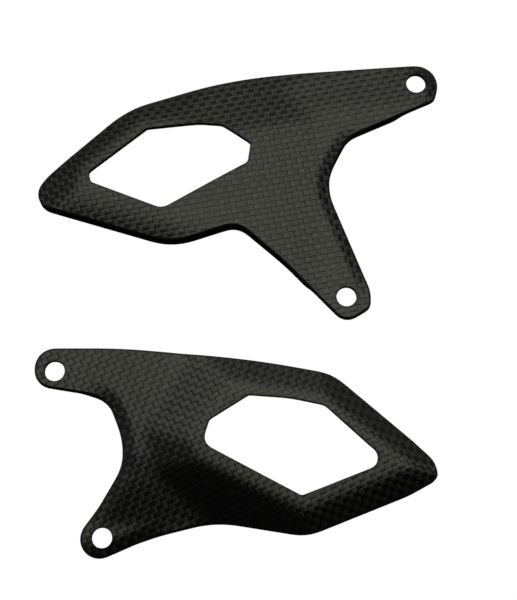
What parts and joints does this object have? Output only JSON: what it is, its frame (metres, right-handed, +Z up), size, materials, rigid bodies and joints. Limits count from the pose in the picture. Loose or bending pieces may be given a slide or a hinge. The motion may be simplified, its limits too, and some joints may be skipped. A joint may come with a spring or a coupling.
{
  "type": "motorcycle heel guard pair",
  "caption": "Right and left carbon-fibre heel guards: shallow raised pads with one polygonal window each and two bolted arms, for a motorcycle foot-peg bracket.",
  "frame": {"origin": "middle of the pair's bounding box, on the surface that the rims stand on", "axes": "+Z up, out of the guards' outer faces; +Y from the left guard to the right guard; +X along the guards, towards the ends of the right guard's arms"},
  "size_m": [0.1416, 0.1748, 0.0096],
  "materials": {
    "carbon_face": "plain-weave carbon fibre under a matt clear coat, 2 mm tows",
    "carbon_core": "cut and sanded carbon laminate edge",
    "carbon_back": "rough peel-ply carbon fibre, uncoated"
  },
  "bodies": {
    "right_guard": {"right_face_ply": "carbon_face", "right_outer_core_ply": "carbon_core", "right_inner_core_ply": "carbon_core", "right_back_ply": "carbon_back"},
    "left_guard": {"left_face_ply": "carbon_face", "left_outer_core_ply": "carbon_core", "left_inner_core_ply": "carbon_core", "left_back_ply": "carbon_back"}
  },
  "joints": [
    {"name": "left_guard_lift", "type": "slide", "parent": "right_guard", "child": "left_guard", "axis": [0, 0, 1], "range_m": [0, 0.05]}
  ]
}
